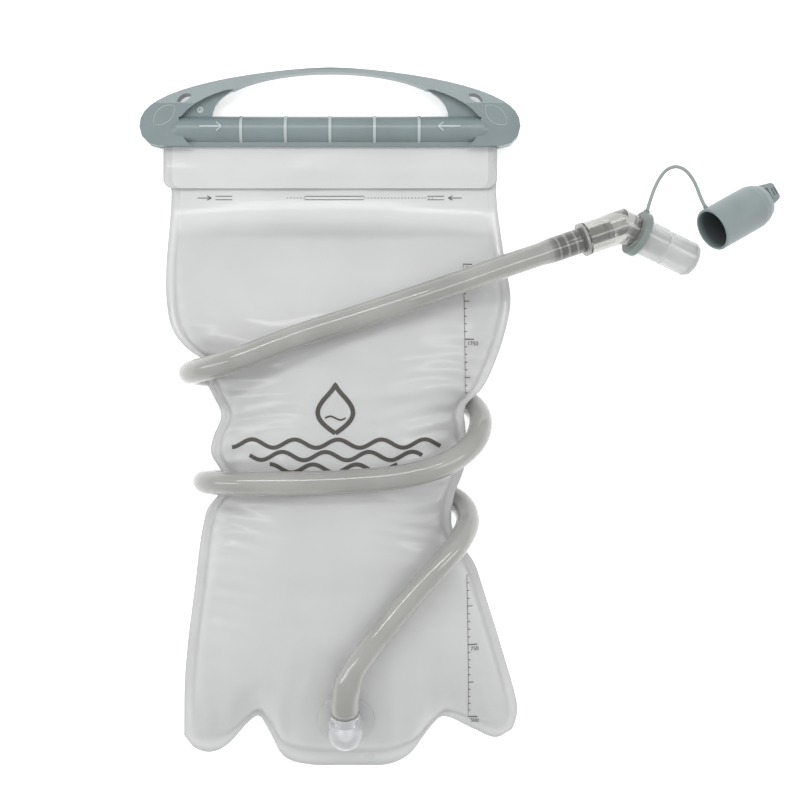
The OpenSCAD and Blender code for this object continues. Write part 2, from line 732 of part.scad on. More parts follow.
// Moulded strap from the lug on the ring, in a bow, to the lug on the cap
cap_at = [190.4, 92.2, 23.5];
cap_turn = 29.5;
cap_dip = 26;
cap_r = cap_d / 2;
function at_frame(o, turn, dip, v) =
    let (
        z = direction(turn, dip),
        y = [-sin(turn), cos(turn), 0],
        x = cross(y, z)
    )
    o + v[0] * x + v[1] * y + v[2] * z;
lug_at = 3.2;
ring_lug = at_frame(outlet_at, outlet_turn, outlet_dip, [0, ring_d / 2 + lug_h, neck_at + 1.4]);
cap_lug = at_frame(cap_at, cap_turn, cap_dip, [0, cap_r + lug_h, lug_at]);
tether_points = [
    ring_lug, [160.2, 107.6, 19.6], [162.3, 113.4, 19.9], [164.9, 118.5, 20.2], [168.3, 122.4, 20.5],
    [172.6, 123.9, 20.8], [176.6, 122.6, 21.2], [179.6, 119.6, 21.6], [182.4, 114.8, 22],
    cap_lug + [-1.8, 3.6, 0], cap_lug + [-0.4, 0.8, 0]
];
tether_line = route(tether_points, 3.2);

module cap_tether() {
    radius = [for (p = tether_line) tether_d / 2];
    color([0.62, 0.66, 0.65])
        tube(tether_line, radius, [for (p = tether_line) 0], 8, [0, 0, 1]);
}

// Outline of the pull loop, across and along the cap, and of its opening
loop_l = 10;
loop_up = 1.6;
loop_t = 2.6;
module loop_outline() {
    polygon([
        [loop_up - 6.6, 0], [loop_up + 6.6, 0], [loop_up + 6, 2.4], [loop_up + 4.6, loop_l - 1.2],
        [loop_up + 3.4, loop_l], [loop_up - 3.4, loop_l], [loop_up - 4.6, loop_l - 1.2], [loop_up - 6, 2.4]
    ]);
}
module loop_opening() {
    polygon([
        [loop_up - 3.9, 1.4], [loop_up + 3.9, 1.4],
        [loop_up + 3.3, loop_l - 4.6], [loop_up - 3.3, loop_l - 4.6]
    ]);
}

module dust_cap() {
    shoulder = cap_l - 4;
    end_r = cap_r - 2.4;
    color([0.55, 0.60, 0.59])
        translate(cap_at) rotate([0, 90 + cap_dip, cap_turn]) {
            rotate_extrude()
                difference() {
                    polygon([
                        [0, 0], [cap_r - 0.3, 0], [cap_r, 0.4], [cap_r, shoulder - 5],
                        [cap_r - 0.7, shoulder - 1.5], [end_r, shoulder + 2.2],
                        [end_r - 3, cap_l - 0.3], [0, cap_l]
                    ]);
                    translate([-1, -1])
                        square([cap_r - cap_wall + 1, cap_l - 6]);
                }
            // lug for the tether
            translate([-0.9, cap_r - 0.6, lug_at - 0.8]) cube([1.8, 0.6 + lug_h, 1.6]);
            // pull loop on the closed end
            translate([loop_t / 2, 0, cap_l - 1])
                rotate([90, 0, -90]) mirror([1, 0, 0])
                    linear_extrude(loop_t)
                        difference() {
                            loop_outline();
                            loop_opening();
                            for (side = [-1, 1])
                                translate([loop_up - 2, loop_l - 2.1 + side * 0.8]) square([4, 0.6]);
                        }
        }
}

module bite_valve() {
    r = bite_d / 2;
    color([0.90, 0.91, 0.91, 0.7])
        at_outlet() translate([0, 0, nipple_at + 0.1])
            difference() {
                rotate_extrude()
                    polygon([
                        [0, 0], [r, 0], [r, 11.6], [r - 0.5, 12.4], [r - 0.5, 13.2], [r - 0.1, 14.2],
                        [r - 0.2, bite_l - 3.2], [r - 0.9, bite_l - 1.4], [r - 2.4, bite_l - 0.3],
                        [r - 4, bite_l], [0, bite_l]
                    ]);
                translate([0, 0, -1]) cylinder(r = nipple_r + 0.5, h = nipple_l + 1.6);
                cylinder(r = 4.6, h = bite_l - 3);
                // the slit that opens when it is bitten
                translate([-0.15, -4, bite_l - 4]) cube([0.3, 8, 5]);
            }
}

front_film();
back_film();
seal_rail();
slide_seal();
port_base();
port_o_ring();
port_elbow();
hose();
hose_spigot();
spigot_o_ring();
valve_elbow();
cap_ring();
cap_tether();
dust_cap();
bite_valve();
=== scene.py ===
# Two litre hydration bladder, filled and lying on its back, with its hose wound round the waist.
# +X is to the side where the hose leaves, +Y towards the carrying handle, +Z out of the printed film.
import math

import bpy
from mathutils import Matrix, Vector, noise
from mathutils.bvhtree import BVHTree


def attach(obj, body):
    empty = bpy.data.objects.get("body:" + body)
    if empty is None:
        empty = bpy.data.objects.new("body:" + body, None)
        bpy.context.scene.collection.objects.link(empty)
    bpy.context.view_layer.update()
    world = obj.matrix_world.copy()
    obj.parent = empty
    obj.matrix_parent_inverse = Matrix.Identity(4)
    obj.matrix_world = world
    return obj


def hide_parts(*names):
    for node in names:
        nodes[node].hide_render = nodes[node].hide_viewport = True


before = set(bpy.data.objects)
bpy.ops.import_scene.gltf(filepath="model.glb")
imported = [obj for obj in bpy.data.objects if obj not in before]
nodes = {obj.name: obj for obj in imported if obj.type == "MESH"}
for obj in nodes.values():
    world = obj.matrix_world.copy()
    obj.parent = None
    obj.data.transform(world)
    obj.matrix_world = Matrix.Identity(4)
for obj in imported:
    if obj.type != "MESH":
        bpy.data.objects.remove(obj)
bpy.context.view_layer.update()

# ---- Camera ------------------------------------------------------------------------------------
# It looks straight down from a metre above the table, past the right side of the bag, so that the
# mouthpiece and its cap are in view too.
MM = 0.001
camera_data = bpy.data.cameras.new("camera")
camera_data.sensor_width = 36.0
camera_data.lens = 88.4
camera_data.clip_start = 0.05
camera = bpy.data.objects.new("camera", camera_data)
camera.location = (0.0352, 0.0076, 1.0)
bpy.context.scene.collection.objects.link(camera)
bpy.context.scene.camera = camera

# ---- Hose --------------------------------------------------------------------------------------
# Extruded polyurethane tube, 11.5 mm outside and 7.5 mm inside, pushed over a barb at each end.
# It leaves the port at the bottom, goes twice round the waist and ends at the mouthpiece.
HOSE_OD = 11.5
HOSE_ID = 7.5
BARB_L = 14.0
PORT_BARB_R = 4.9
MOUTH_BARB_R = 4.2
HOSE_POINTS = [
    (8.5, -144.1, 47), (8.6, -138, 50.4), (9.6, -131.5, 53.7), (13.2, -122, 56.4), (20.5, -111.5, 57),
    (29.5, -100.5, 56), (41, -87, 54.4), (53, -74, 52), (62, -64, 47), (67.5, -55.5, 38.5),
    (68.6, -50, 29), (66.3, -45, 19), (59.5, -40.5, 10.5), (48, -37.5, 6.2), (25, -36, 6), (-5, -35, 6),
    (-36, -34, 6.2), (-49, -33.5, 10.5), (-58, -33, 19.5), (-61.4, -32.5, 32), (-57.5, -32.5, 45.5),
    (-46, -32.5, 54.8), (-30, -32.5, 57.6), (0, -32, 58.4), (30, -30, 57.8), (50, -26, 55.5),
    (63, -20, 50.5), (72, -12, 42), (75, -3, 31.5), (72.2, 4, 19.5), (63.5, 9, 10.2), (50, 11.5, 6.2),
    (25, 13.5, 6), (-10, 16.5, 6), (-42, 19, 6.2), (-55.5, 20, 10.2), (-65, 20.5, 19), (-68.6, 20.8, 31),
    (-65.2, 21.5, 44), (-55.5, 23.5, 53.8), (-41, 28, 58), (-13, 38.5, 59), (15, 47.5, 58.5),
    (40, 56, 55), (64, 64.6, 47.6), (88, 73.6, 39), (108, 80.7, 31.1), (125.4, 86.9, 26.9),
]


def clamp(x, low=0.0, high=1.0):
    return max(low, min(high, x))


def spline(points, step):
    """Smooth line through the points, in steps of about that many millimetres."""
    points = [Vector(p) for p in points]
    last = len(points) - 1
    out = []
    for i in range(last):
        p0, p1, p2, p3 = points[max(i - 1, 0)], points[i], points[i + 1], points[min(i + 2, last)]
        n = max(1, round((p2 - p1).length / step))
        for k in range(n):
            t = k / n
            out.append(0.5 * (2 * p1 + (p2 - p0) * t + (2 * p0 - 5 * p1 + 4 * p2 - p3) * t * t
                              + (3 * p1 - p0 - 3 * p2 + p3) * t * t * t))
    out.append(points[last])
    return out


def travelled(points):
    """Distance along the line at each of its points."""
    run = [0.0]
    for a, b in zip(points, points[1:]):
        run.append(run[-1] + (b - a).length)
    return run


def make_piece(name, vertices, faces, body, smooth=True, uvs=None):
    """Mesh piece from points in millimetres, riding on a body."""
    mesh = bpy.data.meshes.new(name)
    mesh.from_pydata([tuple(c * MM for c in v) for v in vertices], [], faces)
    mesh.validate()
    if smooth:
        mesh.shade_smooth()
    if uvs:
        layer = mesh.uv_layers.new(name="surface")
        for loop in mesh.loops:
            layer.data[loop.index].uv = uvs[loop.vertex_index]
    piece = bpy.data.objects.new(name, mesh)
    bpy.context.scene.collection.objects.link(piece)
    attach(piece, body)
    return piece


def sweep(centres, across, sections):
    """Points of closed cross-sections along a line; a section is a list of (across, up) offsets."""
    out = []
    side = Vector(across)
    for i, c in enumerate(centres):
        ahead = (centres[min(i + 1, len(centres) - 1)] - centres[max(i - 1, 0)]).normalized()
        side = (side - side.dot(ahead) * ahead).normalized()
        other = ahead.cross(side)
        out += [c + a * side + b * other for a, b in sections[i]]
    return out


def circle(radius, n):
    turns = [2 * math.pi * k / n for k in range(n)]
    return [(radius * math.cos(turn), radius * math.sin(turn)) for turn in turns]


def wall_faces(rings, sides, start=0, inward=False):
    """Faces of a tube wall between rings of points."""
    faces = []
    for i in range(rings - 1):
        for k in range(sides):
            a, b = start + i * sides + k, start + i * sides + (k + 1) % sides
            quad = (a, b, b + sides, a + sides)
            faces.append(quad[::-1] if inward else quad)
    return faces


hose_line = spline(HOSE_POINTS, 3.0)
hose_run = travelled(hose_line)
HOSE_SIDES = 40
STRETCH = 8.0
PAST_BARB = 2.0
BARB_ROOM = 0.1


def hose_bore(s):
    """Radius of the bore at that distance along the hose: wider where it is pushed over a barb."""
    near = clamp((BARB_L + PAST_BARB - s) / STRETCH + 1)
    far = clamp((BARB_L + PAST_BARB - hose_run[-1] + s) / STRETCH + 1)
    r = HOSE_ID / 2
    at_port = (PORT_BARB_R + BARB_ROOM - r) * near * near * (3 - 2 * near)
    at_mouthpiece = (MOUTH_BARB_R + BARB_ROOM - r) * far * far * (3 - 2 * far)
    return r + at_port + at_mouthpiece


HOSE_WALL = (HOSE_OD - HOSE_ID) / 2
outer = sweep(hose_line, (1, 0, 0), [circle(hose_bore(s) + HOSE_WALL, HOSE_SIDES) for s in hose_run])
inner = sweep(hose_line, (1, 0, 0), [circle(hose_bore(s), HOSE_SIDES) for s in hose_run])
rings = len(hose_line)
count = rings * HOSE_SIDES
hose_faces = wall_faces(rings, HOSE_SIDES) + wall_faces(rings, HOSE_SIDES, count, inward=True)
for k in range(HOSE_SIDES):
    b = (k + 1) % HOSE_SIDES
    hose_faces.append((k, count + k, count + b, b))
    last_k, last_b = count - HOSE_SIDES + k, count - HOSE_SIDES + b
    hose_faces.append((last_k, last_b, count + last_b, count + last_k))
hose_uvs = [(k / HOSE_SIDES, s * MM) for s in hose_run for k in range(HOSE_SIDES)] * 2
hose = make_piece("drinking_hose", outer + inner, hose_faces, "bag", uvs=hose_uvs)


def linear(hex_colour):
    """Linear colour from an sRGB hex value."""
    parts = [int(hex_colour[i:i + 2], 16) / 255 for i in (1, 3, 5)]
    return tuple(c / 12.92 if c <= 0.04045 else ((c + 0.055) / 1.055) ** 2.4 for c in parts) + (1.0,)


def add(tree, kind, values=None, links=None, **settings):
    """A node with its settings, socket values and incoming links."""
    new = tree.nodes.new(kind)
    for key, value in settings.items():
        setattr(new, key, value)
    for key, value in (values or {}).items():
        new.inputs[key].default_value = value
    for key, source in (links or {}).items():
        tree.links.new(source, new.inputs[key])
    return new


def new_material(name):
    material = bpy.data.materials.new(name)
    material.use_nodes = True
    material.node_tree.nodes.clear()
    return material, material.node_tree


def ramp(tree, factor, *stops):
    """A colour ramp with stops of (place, sRGB hex)."""
    node = add(tree, "ShaderNodeValToRGB", links={"Fac": factor})
    elements = node.color_ramp.elements
    while len(elements) < len(stops):
        elements.new(0.5)
    for element, (place, hex_colour) in zip(elements, stops):
        element.position = place
        element.color = linear(hex_colour)
    return node.outputs["Color"]


def blend(tree, factor, low, high):
    """Mix of two colour outputs."""
    node = add(tree, "ShaderNodeMix", links={0: factor, 6: low, 7: high}, data_type="RGBA")
    return node.outputs[2]


def cells(size_mm):
    """Scale of a noise whose spots are that many millimetres across."""
    return 1000.0 / size_mm


# Polyurethane tube, extruded, smoky: glossy outside with fine draw lines along its length. Where it is
# stretched over the spigot, it is painted darker, partly the grey barbs inside seen through its wall and
# partly painted shade, with painted glints in light stripes at the barb pitch.
BARB_SHOWS = 18.0
BARB_FADE = 3.0
BARB_PITCH = 4.7
HOSE_CLOUD = 35.7


def hose_material():
    material, tree = new_material("extruded_polyurethane_tube")
    place = add(tree, "ShaderNodeUVMap", uv_map="surface")
    stretched = add(tree, "ShaderNodeMapping", {"Scale": (60, 12, 1)}, {"Vector": place.outputs["UV"]})
    draw_lines = add(tree, "ShaderNodeTexNoise", {"Scale": 1.0, "Detail": 3.0},
                     {"Vector": stretched.outputs["Vector"]})
    where = add(tree, "ShaderNodeTexCoord")
    cloud = add(tree, "ShaderNodeTexNoise", {"Scale": cells(HOSE_CLOUD), "Detail": 2.0},
                {"Vector": where.outputs["Object"]})
    plain = ramp(tree, cloud.outputs["Fac"], (0.35, "#ADADA9"), (0.65, "#BBBBB7"))
    along = add(tree, "ShaderNodeSeparateXYZ", links={"Vector": place.outputs["UV"]})
    end = hose_run[-1] * MM
    over_barb = add(tree, "ShaderNodeMapRange",
                    {"From Min": end - (BARB_SHOWS + BARB_FADE) * MM,
                     "From Max": end - (BARB_SHOWS - BARB_FADE) * MM},
                    {"Value": along.outputs["Y"]})
    teeth = add(tree, "ShaderNodeMath", {1: 2 * math.pi / (BARB_PITCH * MM)}, {0: along.outputs["Y"]},
                operation="MULTIPLY")
    tooth = add(tree, "ShaderNodeMath", links={0: teeth.outputs["Value"]}, operation="SINE")
    # Painted shade over the barbs, with a painted glint stripe at each barb crest.
    barb_shade_and_glints = ramp(tree, tooth.outputs["Value"], (0.0, "#6B6B68"), (0.7, "#7E7E7B"), (0.97, "#A3A3A0"))
    tone = blend(tree, over_barb.outputs["Result"], plain, barb_shade_and_glints)
    bump = add(tree, "ShaderNodeBump", {"Strength": 0.12, "Distance": 0.3 * MM},
               {"Height": draw_lines.outputs["Fac"]})
    rough = add(tree, "ShaderNodeMapRange", {"To Min": 0.07, "To Max": 0.16},
                {"Value": draw_lines.outputs["Fac"]})
    skin = add(tree, "ShaderNodeBsdfPrincipled",
               {"IOR": 1.5, "Transmission Weight": 0.4, "Coat Weight": 0.6, "Coat Roughness": 0.05},
               {"Base Color": tone, "Roughness": rough.outputs["Result"], "Normal": bump.outputs["Normal"]})
    add(tree, "ShaderNodeOutputMaterial", links={"Surface": skin.outputs["BSDF"]})
    return material


hose.data.materials.append(hose_material())
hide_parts("hose")

# ---- Cap tether ----------------------------------------------------------------------------------
# Thin strap of thermoplastic elastomer, moulded in one shot. It runs from a lug on the cap ring, in a
# bow over the table, to the lug on the cap's lip, so that the cap can't be lost.
TETHER_D = 1.8
TETHER_SIDES = 12


def direction(turn, dip):
    """Direction at that many degrees round from +X and that many below level."""
    turn, dip = math.radians(turn), math.radians(dip)
    return Vector((math.cos(dip) * math.cos(turn), math.cos(dip) * math.sin(turn), -math.sin(dip)))


def frame_axes(turn, dip):
    """Axes of a piece whose own Z points along that direction."""
    z = direction(turn, dip)
    y = Vector((-math.sin(math.radians(turn)), math.cos(math.radians(turn)), 0))
    return y.cross(z), y, z


def placed(at, axes, point):
    """Where a point given in a piece's own axes lies."""
    return at + point[0] * axes[0] + point[1] * axes[1] + point[2] * axes[2]


SPIGOT_AT = Vector(HOSE_POINTS[-1])
SPIGOT_AXES = frame_axes(19.7, 13)
ELBOW_L = 22.5
OUTLET_AT = SPIGOT_AT + ELBOW_L * SPIGOT_AXES[2]
OUTLET_AXES = frame_axes(-24.5, 17.5)
CAP_AT = Vector((190.4, 92.2, 23.5))
CAP_AXES = frame_axes(29.5, 26)
CAP_R = 11.0
ring_lug = placed(OUTLET_AT, OUTLET_AXES, (0, 12.4, 8.6))
cap_lug = placed(CAP_AT, CAP_AXES, (0, CAP_R + 0.9, 3.2))
TETHER_POINTS = [
    ring_lug, (160.2, 107.6, 19.6), (162.3, 113.4, 19.9), (164.9, 118.5, 20.2), (168.3, 122.4, 20.5),
    (172.6, 123.9, 20.8), (176.6, 122.6, 21.2), (179.6, 119.6, 21.6), (182.4, 114.8, 22),
    cap_lug + Vector((-1.8, 3.6, 0)), cap_lug,
]
tether_line = spline(TETHER_POINTS, 1.0)
tether_rings = len(tether_line)
tether_points = sweep(tether_line, (0, 0, 1), [circle(TETHER_D / 2, TETHER_SIDES)] * tether_rings)
tether_faces = wall_faces(tether_rings, TETHER_SIDES)
tether_faces.append(tuple(reversed(range(TETHER_SIDES))))
tether_faces.append(tuple(range((tether_rings - 1) * TETHER_SIDES, tether_rings * TETHER_SIDES)))
tether = make_piece("cap_strap", tether_points, tether_faces, "ring")

TONE_DRIFT = 22.2
GLOSS_SPREAD = 0.06


def moulded(name, low, high, roughness, grain_mm=0.5, depth_mm=0.04, coat=0.0, transmission=0.0,
            mask=None, masked=None):
    """Moulded plastic: a slow drift of tone and a spark-eroded grain; a mask tints some places."""
    material, tree = new_material(name)
    where = add(tree, "ShaderNodeTexCoord")
    drift = add(tree, "ShaderNodeTexNoise", {"Scale": cells(TONE_DRIFT), "Detail": 3.0, "Roughness": 0.6},
                {"Vector": where.outputs["Object"]})
    tone = ramp(tree, drift.outputs["Fac"], (0.3, low), (0.7, high))
    if mask:
        marked = ramp(tree, drift.outputs["Fac"], (0.3, masked), (0.7, masked))
        tone = blend(tree, mask(tree, where.outputs["Object"]), tone, marked)
    grain = add(tree, "ShaderNodeTexNoise", {"Scale": cells(grain_mm), "Detail": 2.0},
                {"Vector": where.outputs["Object"]})
    bump = add(tree, "ShaderNodeBump", {"Strength": 0.35, "Distance": depth_mm * MM},
               {"Height": grain.outputs["Fac"]})
    rough = add(tree, "ShaderNodeMapRange",
                {"To Min": roughness - GLOSS_SPREAD, "To Max": roughness + GLOSS_SPREAD},
                {"Value": drift.outputs["Fac"]})
    skin = add(tree, "ShaderNodeBsdfPrincipled",
               {"IOR": 1.5, "Coat Weight": coat, "Coat Roughness": 0.2,
                "Transmission Weight": transmission},
               {"Base Color": tone, "Roughness": rough.outputs["Result"], "Normal": bump.outputs["Normal"]})
    add(tree, "ShaderNodeOutputMaterial", links={"Surface": skin.outputs["BSDF"]})
    return material


# Thermoplastic elastomer, moulded: a fine matt grain, a little lighter than the cap.
tether.data.materials.append(moulded("elastomer_strap", "#868E8B", "#939A97", 0.5))
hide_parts("cap_tether")

# ---- Front film ------------------------------------------------------------------------------------
# The printed side of the bag: 0.5 mm milky polyurethane film, welded to the back film along its
# edges. Water swells it, the hose draws in its waist, and its top is folded round the rail.
BAG_W = 188.0
BAG_L = 319.0
FILM_T = 0.5
WELD_W = 4.5
LOW_FILL = 27.0
WAIST_FILL = 22.0
TOP_FILL = 27.0
MOUTH_W = 168.4
FLAP_L = 21.0
FLAP_R = 5.0
HANDLE_H = 31.4
TUBE_R = 7.0
RIB_H = 0.4
LIP_L = 8.5
CHANNEL_R = 4.5
SLOT_H = 2.8
RAIL_D = 6.0
RAIL_GAP = 0.15
PORT_UP = 25.5
PORT_X = 8.5
PORT_Z = 31.0
PORT_TILT = 30.0
PORT_FLANGE_D = 28.0
PAD_FADE = 14.0
FOLD_GAP = 0.06
BOTTOM_Y = -(BAG_L + HANDLE_H) / 2
CHANNEL_Y = BOTTOM_Y + BAG_L
SEAL_Z = TUBE_R + RIB_H
WELD_Z = SEAL_Z - FILM_T - FOLD_GAP / 2
HOSE_ROOM = HOSE_OD + 0.8
LEFT_INSET = [
    (4, 21), (15, 22), (28, 27), (40, 33.5), (43.4, 41), (46, 41.3), (49, 36), (51.5, 37), (55, 41),
    (58, 37), (60.5, 33), (63.4, 32), (65.2, 24), (68, 16.5), (72, 13), (78, 12), (90, 13.8), (100, 13),
]
RIGHT_INSET = [
    (4, 4), (7, 0.6), (10, 0.6), (19, 8.5), (28.5, 18), (32, 22), (37, 32.5), (42, 32.5), (46, 28),
    (49, 25.5), (53, 26.5), (56.4, 26.5), (59, 18.5), (63, 12), (68, 6.5), (73, 3.6), (80, 6.6), (89, 10),
    (100, 11),
]
BOTTOM_RISE = [
    (0, 15), (3, 9), (8, 6.6), (13, 10), (22.5, 25), (26, 17), (30, 5), (38, 0.4), (50, 0),
    (62, 0.4), (69, 6), (75, 19), (79, 24.6), (88, 18.5), (95, 14), (100, 18),
]
WELD_HEIGHT = [
    (0, 14), (10, 17), (28, 21), (42, 30), (58, 30), (70, 21), (80, 13), (87, 8), (91, WELD_Z),
    (100, WELD_Z),
]
FRONT_RISE = [
    (0, LOW_FILL), (30, LOW_FILL), (44, WAIST_FILL), (58, WAIST_FILL), (69, TOP_FILL),
    (77, 0.84 * TOP_FILL), (82.5, 0.42 * TOP_FILL), (85, 2.2), (87, 0.8), (90.5, 0), (100, 0),
]
BACK_DROP = [(0, 20), (30, 26), (44, 20), (58, 20), (70, 24), (80, 15), (87, 6), (91, 0), (100, 0)]
REST_HEIGHT = [(0, 0), (28, 0), (36, HOSE_ROOM), (64, HOSE_ROOM), (72, 0), (100, 0)]
END_L = 50.0
FIRST_STATION = 5.0
BODY_TOP = 90.5
BOTTOM_MEAN = 16.0
BOTTOM_FADE = 48.0


def span(table, x):
    """Which stretch of the table holds x."""
    i = 0
    while i < len(table) - 2 and x >= table[i + 1][0]:
        i += 1
    return i


def slope(table, i):
    a, b = max(i - 1, 0), min(i + 1, len(table) - 1)
    return (table[b][1] - table[a][1]) / (table[b][0] - table[a][0])


def curve(table, x):
    """Smooth value of the table at x."""
    i = span(table, x)
    h = table[i + 1][0] - table[i][0]
    s = clamp((x - table[i][0]) / h)
    return ((2 * s ** 3 - 3 * s ** 2 + 1) * table[i][1] + (s ** 3 - 2 * s ** 2 + s) * h * slope(table, i)
            + (3 * s ** 2 - 2 * s ** 3) * table[i + 1][1] + (s ** 3 - s ** 2) * h * slope(table, i + 1))


def line(table, x):
    """Value of the table at x, straight between its points."""
    i = span(table, x)
    s = clamp((x - table[i][0]) / (table[i + 1][0] - table[i][0]))
    return table[i][1] + s * (table[i + 1][1] - table[i][1])


def station_y(p):
    """Y of the place that many percent of the way up the bag."""
    return BOTTOM_Y + BAG_L * p / 100


FIRST_Y = station_y(FIRST_STATION)
WELD_Y = FIRST_Y + WELD_W
COLUMNS = 84
ROWS = 150
GRIP_STATIONS = (44.6, 61.0, 38.0, 54.5)
GRIP_SPREAD = 5.0
CREASE_PITCH = 8.5
CREASE_REACH = 13.0
PLEAT_PITCH = 13.0
PLEAT_REACH = 16.0


def column_share(i, w):
    """Share of the width at which a column lies: three on each weld, the rest over the water."""
    if i <= 2:
        return i / 2 * WELD_W / w
    if i >= COLUMNS - 2:
        return 1 - (COLUMNS - i) / 2 * WELD_W / w
    s = (i - 2) / (COLUMNS - 4)
    return WELD_W / w + (1 - 2 * WELD_W / w) * (0.6 * s + 0.4 * (1 - math.cos(math.pi * s)) / 2)


def pad_share(x, y):
    """1 under the port's flange, where the film is flat and tilted, fading to 0 round it."""
    uphill = (y - BOTTOM_Y - PORT_UP) / math.cos(math.radians(PORT_TILT))
    s = clamp((math.hypot(x - PORT_X, uphill) - PORT_FLANGE_D / 2 - 1) / PAD_FADE)
    return 1 - s * s * (3 - 2 * s)


def puckers(x, y, edge, p):
    """Creases that run in from the welds, deepest where the hose draws the bag in, and slow waves."""
    grip = max(math.exp(-((p - g) / GRIP_SPREAD) ** 2) for g in GRIP_STATIONS)
    near = math.exp(-edge / CREASE_REACH) * clamp(edge / 2.5)
    wander = 5 * noise.noise(Vector((x / 40, y / 30, 0)))
    drawn = (0.35 + 1.5 * grip) * near * math.sin(y * 2 * math.pi / CREASE_PITCH + wander)
    broad = 1.5 * noise.noise(Vector((x / 38, y / 30, 4)))
    small = 0.5 * noise.noise(Vector((x / 14, y / 12, 9)))
    foot = math.exp(-(y - WELD_Y) / PLEAT_REACH) * clamp((y - WELD_Y) / 4)
    lean = 4 * noise.noise(Vector((x / 30, y / 50, 2)))
    pleats = 1.1 * foot * math.sin(x * 2 * math.pi / PLEAT_PITCH + lean)
    return drawn + (broad + small) * clamp(edge / 12) + pleats


def bag_point(y, i):
    """Place of column i at height y, the weld's height there, and how far the water parts the films."""
    p = 100 * (y - BOTTOM_Y) / BAG_L
    xl = -BAG_W / 2 + curve(LEFT_INSET, p)
    w = BAG_W / 2 - curve(RIGHT_INSET, p) - xl
    u = column_share(i, w)
    on_weld = i <= 2 or i >= COLUMNS - 2 or y <= WELD_Y + 0.01
    s = clamp((2 * u - 1) / (1 - 2 * WELD_W / w), -1, 1)
    a = 0 if on_weld else 1 - s * s
    b = 1 - (1 - clamp((y - WELD_Y) / END_L)) ** 2
    z = line(WELD_HEIGHT, p)
    up = 0 if on_weld else max(0, curve(FRONT_RISE, p)) * a ** 0.62 * b ** 0.75
    down = 0 if on_weld else line(BACK_DROP, p) * a ** 0.45 * b ** 0.6
    fade = clamp(1 - (y - FIRST_Y) / BOTTOM_FADE) ** 2
    px = xl + u * w
    py = y + (max(0, curve(BOTTOM_RISE, 100 * u)) - BOTTOM_MEAN) * fade
    pad = 0 if on_weld else pad_share(px, py)
    pad_z = PORT_Z + (py - BOTTOM_Y - PORT_UP) * math.tan(math.radians(PORT_TILT)) - FILM_T
    edge = min(u, 1 - u) * w - WELD_W
    flat = clamp((90 - p) / 6)
    if not on_weld:
        up += puckers(px, y, edge, p) * (1 - pad) * flat * clamp(up / 3)
    floor_z = line(REST_HEIGHT, p) + FILM_T
    up += (pad_z - z - up) * pad
    return px, py, z, up, max(0, z - max(floor_z, z - down))


fold_r = RAIL_D / 2 + RAIL_GAP + FILM_T
slot_top = CHANNEL_Y - math.sqrt(CHANNEL_R ** 2 - (SLOT_H / 2) ** 2) + 0.3
lip_y = CHANNEL_Y - LIP_L
flap_y = lip_y - FLAP_L
flap_z = SEAL_Z + FOLD_GAP / 2 + FILM_T


def mouth_rows():
    """[y, z, normal y, normal z, inset] of the rows up the slot, round the rail and down the flap."""
    rows = [(lip_y - FLAP_L * k / 8, WELD_Z, 0, 1, 0) for k in range(5, 0, -1)]
    rows += [(lip_y + 0.5, WELD_Z, 0, 1, 0), (slot_top, WELD_Z, 0, 1, 0)]
    for k in range(25):
        a = math.radians(-140 + 280 * k / 24)
        c, w = math.cos(a), math.sin(a)
        rows.append((CHANNEL_Y + fold_r * c, SEAL_Z + fold_r * w, -c, -w, 0))
    rows += [(slot_top, flap_z, 0, -1, 0), (lip_y, flap_z, 0, -1, 0)]
    rows += [(lip_y - (FLAP_L - FLAP_R) * k / 8, flap_z, 0, -1, 0) for k in range(1, 8)]
    for k in range(9):
        a = math.radians(90 * k / 8)
        rows.append((flap_y + FLAP_R * (1 - math.sin(a)), flap_z, 0, -1, FLAP_R * (1 - math.cos(a))))
    return rows


body_rows = [FIRST_Y, FIRST_Y + WELD_W / 2, WELD_Y]
body_rows += [WELD_Y + (station_y(BODY_TOP) - WELD_Y) * j / ROWS for j in range(1, ROWS + 1)]
MOUTH = mouth_rows()


def film_grid(side, face):
    """Rows of points of one face of a film; side 1 is the front film, face 1 its outer face."""
    grid = []
    for y in body_rows:
        row = []
        for i in range(COLUMNS + 1):
            px, py, z, up, down = bag_point(y, i)
            row.append(Vector((px, py, z + (up if side > 0 else -down) + side * face * FILM_T)))
        grid.append(row)
    for y, z, ny, nz, inset in MOUTH:
        w = MOUTH_W - 2 * inset
        off = side * face * FILM_T
        lift = 0.0
        row = []
        for i in range(COLUMNS + 1):
            x = -w / 2 + w * column_share(i, w)
            if nz < -0.5 and y < lip_y - 2:
                loose = clamp((lip_y - 2 - y) / 10)
                lift = loose * (0.9 + 1.1 * noise.noise(Vector((x / 30, y / 40, 7))))
            row.append(Vector((x, y + ny * off, z + nz * off + lift)))
        grid.append(row)
    return grid


def film_mesh(name, side):
    """A film as a closed sheet, with the grid of its outer face and the faces of its welds."""
    top = film_grid(side, 1 if side > 0 else 0)
    low = film_grid(side, 0 if side > 0 else 1)
    nr, nc = len(top), COLUMNS + 1
    points = [v for row in top for v in row] + [v for row in low for v in row]
    base = nr * nc
    faces = []
    for j in range(nr - 1):
        for i in range(nc - 1):
            k = j * nc + i
            faces.append((k, k + 1, k + nc + 1, k + nc))
            faces.append((base + k, base + k + nc, base + k + nc + 1, base + k + 1))
    starts = [face[0] % base for face in faces]
    welds = [f for f, k in enumerate(starts) if k % nc in (0, 1, nc - 2, nc - 3) or k < 2 * nc]
    for j in range(nr - 1):
        k, r = j * nc, j * nc + nc - 1
        faces.append((k, k + nc, base + k + nc, base + k))
        faces.append((r, base + r, base + r + nc, r + nc))
    for i in range(nc - 1):
        k = (nr - 1) * nc + i
        faces.append((i, base + i, base + i + 1, i + 1))
        faces.append((k, k + 1, base + k + 1, base + k))
    piece = make_piece(name, points, faces, "bag")
    return piece, top, welds, faces


front, front_grid, front_welds, front_faces = film_mesh("front_film_skin", 1)


